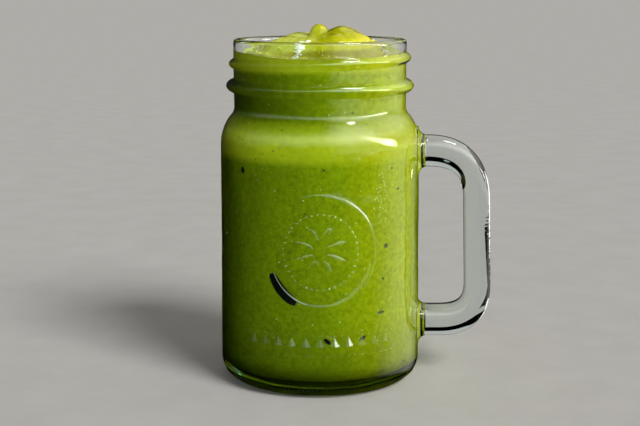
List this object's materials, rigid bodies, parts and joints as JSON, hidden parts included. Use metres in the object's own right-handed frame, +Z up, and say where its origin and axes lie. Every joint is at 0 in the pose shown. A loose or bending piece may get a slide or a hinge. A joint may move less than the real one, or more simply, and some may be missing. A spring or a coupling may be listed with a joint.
{
  "type": "green smoothie in a handled glass jar",
  "caption": "Clear glass drinking jar with a screw-thread neck and side handle, filled with thick green smoothie that stands in folds above the rim.",
  "frame": {"origin": "on the surface the jar stands on, under the middle of the whole object's box, handle included", "axes": "+Z up along the jar's axis, +X towards the handle, -Y towards the side with the round medallion"},
  "size_m": [0.1069, 0.079, 0.1386],
  "materials": {
    "glass": "clear pressed glass with a faint green tint, smooth and glossy",
    "smoothie": "thick yellow-green blended drink with fine darker specks, wet and glossy on top"
  },
  "bodies": {
    "root": {"jar": "glass", "smoothie": "smoothie"}
  },
  "joints": []
}
